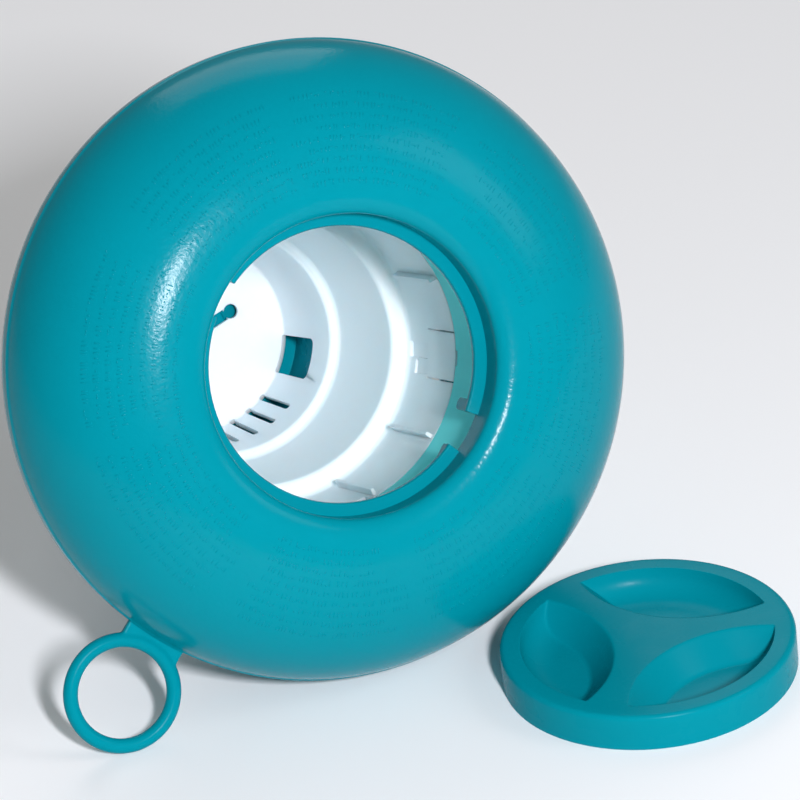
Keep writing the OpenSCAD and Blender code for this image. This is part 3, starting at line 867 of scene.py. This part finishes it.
def build_object():
    shell = plastic("teal_shell_plastic", TEAL, roughness=0.17, bump=0.3, shine=0.07)
    trim = plastic("teal_trim_plastic", TEAL, roughness=0.24, bump=0.2, shine=0.03)
    cover = plastic("teal_lid_plastic", TEAL, roughness=0.27, bump=0.12, shine=0.04)
    # The neck's material is the shell's teal made far lighter: painted light on the neck wall.
    inner = plastic("teal_neck_painted_light_plastic", NECK_PAINTED_LIGHT_TEAL, roughness=0.5, bump=0.2, shine=0.03)
    white = plastic("white_basket_plastic", WHITE, roughness=0.36, bump=0.15, translucent=0.7, shine=0.2)
    dress(neck(), "float", "teal_shell", inner, "upper_float_shell")
    for make in (upper_shell, flange_segments, raised_marks):
        dress(make(), "float", "teal_shell", shell, "upper_float_shell")
    dress(lower_shell(), "float", "teal_shell", shell, "lower_float_shell")
    dress(tether(), "float", "teal_trim", trim, "tether_ring")
    for make in (basket_body, basket_details):
        dress(make(), "float", "white_basket", white, "basket")
    for make in (adjuster, pivot, stop_blocks):
        dress(make(), "adjuster", "teal_trim", trim, "flow_adjuster")
    dress(lid(), "lid", "teal_lid", cover, "lid")


# ---------------------------------------------------------------- studio
def area_light(name, azimuth, elevation, distance, size, power, colour=(1, 1, 1)):
    """Soft light aimed at the float's centre, placed by its direction."""
    centre = FLOAT.translation
    a = math.radians(azimuth)
    e = math.radians(elevation)
    away = Vector((math.sin(a) * math.cos(e), -math.cos(a) * math.cos(e), math.sin(e)))
    data = bpy.data.lights.new(name, "AREA")
    data.shape = "RECTANGLE"
    data.size, data.size_y = size
    data.energy = power
    data.color = colour
    obj = bpy.data.objects.new(name, data)
    obj.location = centre + away * distance
    obj.rotation_euler = (-away).to_track_quat("-Z", "Y").to_euler()
    bpy.context.scene.collection.objects.link(obj)


def studio():
    bpy.ops.mesh.primitive_plane_add(size=12, location=(0, 0, 0))
    ground = bpy.context.object
    ground.name = "floor"
    ground.data.materials.append(floor_material())
    world = bpy.data.worlds.new("studio")
    world.use_nodes = True
    background = world.node_tree.nodes["Background"]
    background.inputs["Color"].default_value = (1, 1, 1, 1)
    background.inputs["Strength"].default_value = WORLD_LIGHT
    bpy.context.scene.world = world
    for light in LIGHTS:
        area_light(*light)


def camera():
    a = math.radians(VIEW_AZIMUTH)
    e = math.radians(VIEW_ELEVATION)
    roll = math.radians(VIEW_ROLL)
    back = Vector((math.sin(a) * math.cos(e), -math.cos(a) * math.cos(e), math.sin(e)))
    right = Vector((math.cos(a), math.sin(a), 0))
    up = back.cross(right)
    tilted_right = right * math.cos(roll) - up * math.sin(roll)
    tilted_up = up * math.cos(roll) + right * math.sin(roll)
    data = bpy.data.cameras.new("camera")
    data.lens = VIEW_LENS
    data.sensor_width = 36
    obj = bpy.data.objects.new("camera", data)
    aim = FLOAT.translation + Vector(VIEW_AIM) * MM
    turn = Matrix((tilted_right, tilted_up, back)).transposed().to_4x4()
    obj.matrix_world = Matrix.Translation(aim + back * VIEW_DISTANCE) @ turn
    bpy.context.scene.collection.objects.link(obj)
    bpy.context.scene.camera = obj


build_object()
studio()
camera()
bpy.context.scene.view_settings.view_transform = "Standard"
